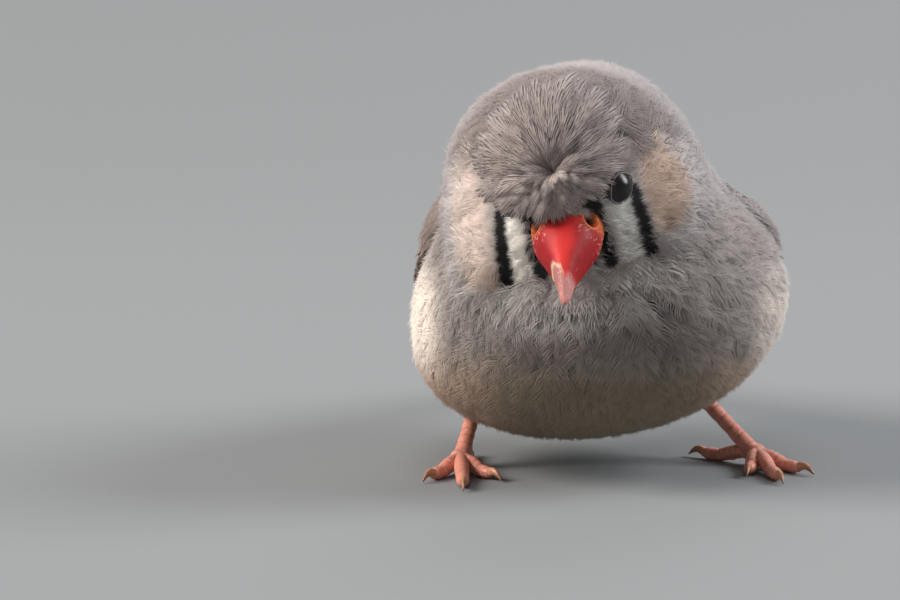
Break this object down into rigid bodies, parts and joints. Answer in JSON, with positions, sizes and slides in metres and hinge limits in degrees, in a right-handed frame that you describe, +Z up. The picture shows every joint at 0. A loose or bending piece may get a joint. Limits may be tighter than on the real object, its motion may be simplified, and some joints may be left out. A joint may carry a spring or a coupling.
{
  "type": "zebra finch",
  "caption": "Crested zebra finch standing fluffed up on both feet with its head bowed, as a life-size still model for display.",
  "frame": {"origin": "middle of the bird's bounding box in X and Y, on the floor under its toes", "axes": "+Z up, +X to the bird's left, +Y towards the tail, so the breast and the bill face -Y"},
  "size_m": [0.045, 0.0892, 0.0456],
  "materials": {
    "crown_plumage": "soft matt",
    "nape_plumage": "soft matt",
    "body_plumage": "soft matt",
    "wing_plumage": "matt",
    "tail_plumage": "matt",
    "bill_horn": "worn satin",
    "eye": "wet gloss",
    "leg_skin": "scaly satin",
    "claw_horn": "satin"
  },
  "bodies": {
    "root": {"head": "crown_plumage", "neck": "nape_plumage", "torso": "body_plumage", "bill_upper": "bill_horn", "bill_lower": "bill_horn", "tail": "tail_plumage", "wing_left": "wing_plumage", "wing_right": "wing_plumage", "eye_left": "eye", "eye_right": "eye", "shank_left": "leg_skin", "shank_right": "leg_skin", "foot_left": "leg_skin", "foot_right": "leg_skin", "claw_left_inner": "claw_horn", "claw_left_middle": "claw_horn", "claw_left_outer": "claw_horn", "claw_left_rear": "claw_horn", "claw_right_inner": "claw_horn", "claw_right_middle": "claw_horn", "claw_right_outer": "claw_horn", "claw_right_rear": "claw_horn"}
  },
  "joints": []
}
